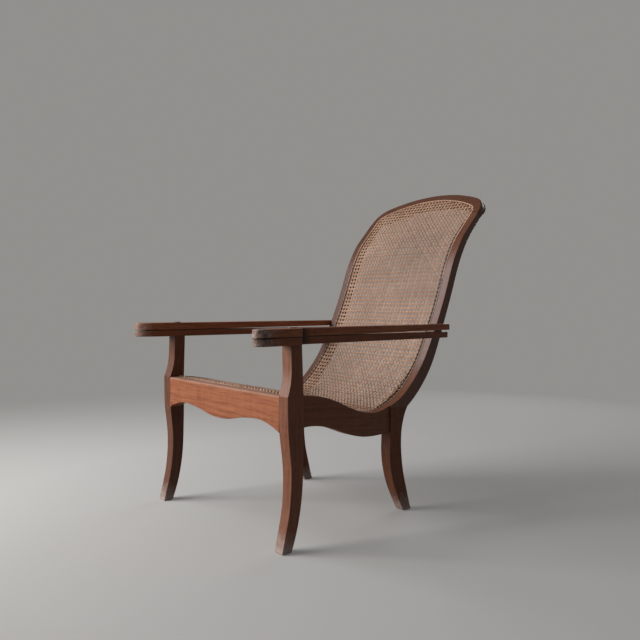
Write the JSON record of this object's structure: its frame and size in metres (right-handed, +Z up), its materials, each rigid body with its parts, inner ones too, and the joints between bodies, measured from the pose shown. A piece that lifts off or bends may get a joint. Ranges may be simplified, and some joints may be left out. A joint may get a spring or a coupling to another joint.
{
  "type": "planters chair",
  "caption": "Low reclining hardwood armchair with sabre legs, a woven cane sling that runs up a curved back, and leg rests under the arms that swing out to the front.",
  "frame": {"origin": "middle of the box round the chair with its leg rests folded in, on the floor", "axes": "+Z up, the chair faces -Y, +X is the sitter's left"},
  "size_m": [0.7862, 1.2074, 1.1699],
  "materials": {
    "hardwood": "satin, worn",
    "cane": "matte, hand woven"
  },
  "bodies": {
    "frame": {"front_leg_left": "hardwood", "front_leg_right": "hardwood", "rear_leg_left": "hardwood", "rear_leg_right": "hardwood", "front_rail": "hardwood", "side_rail_left": "hardwood", "side_rail_right": "hardwood", "rear_rail": "hardwood", "stile_left": "hardwood", "stile_right": "hardwood", "crest_rail": "hardwood", "arm_left": "hardwood", "arm_right": "hardwood", "cane_panel": "cane", "cane_binding": "cane", "side_rail_pegs": "hardwood", "rear_rail_pegs": "hardwood", "stile_pegs": "hardwood", "crest_pegs": "hardwood", "arm_dowels": "hardwood", "arm_wedges": "hardwood"},
    "leg_rest_left": {"leg_rest_left": "hardwood"},
    "leg_rest_right": {"leg_rest_right": "hardwood"}
  },
  "joints": [
    {"name": "leg_rest_left_swing", "type": "hinge", "parent": "frame", "child": "leg_rest_left", "pos_m": [0.3445, -0.45293, 0.61], "axis": [0, 0, -1], "range_deg": [0, 180]},
    {"name": "leg_rest_right_swing", "type": "hinge", "parent": "frame", "child": "leg_rest_right", "pos_m": [-0.3445, -0.45293, 0.61], "axis": [0, 0, 1], "range_deg": [0, 180]}
  ]
}
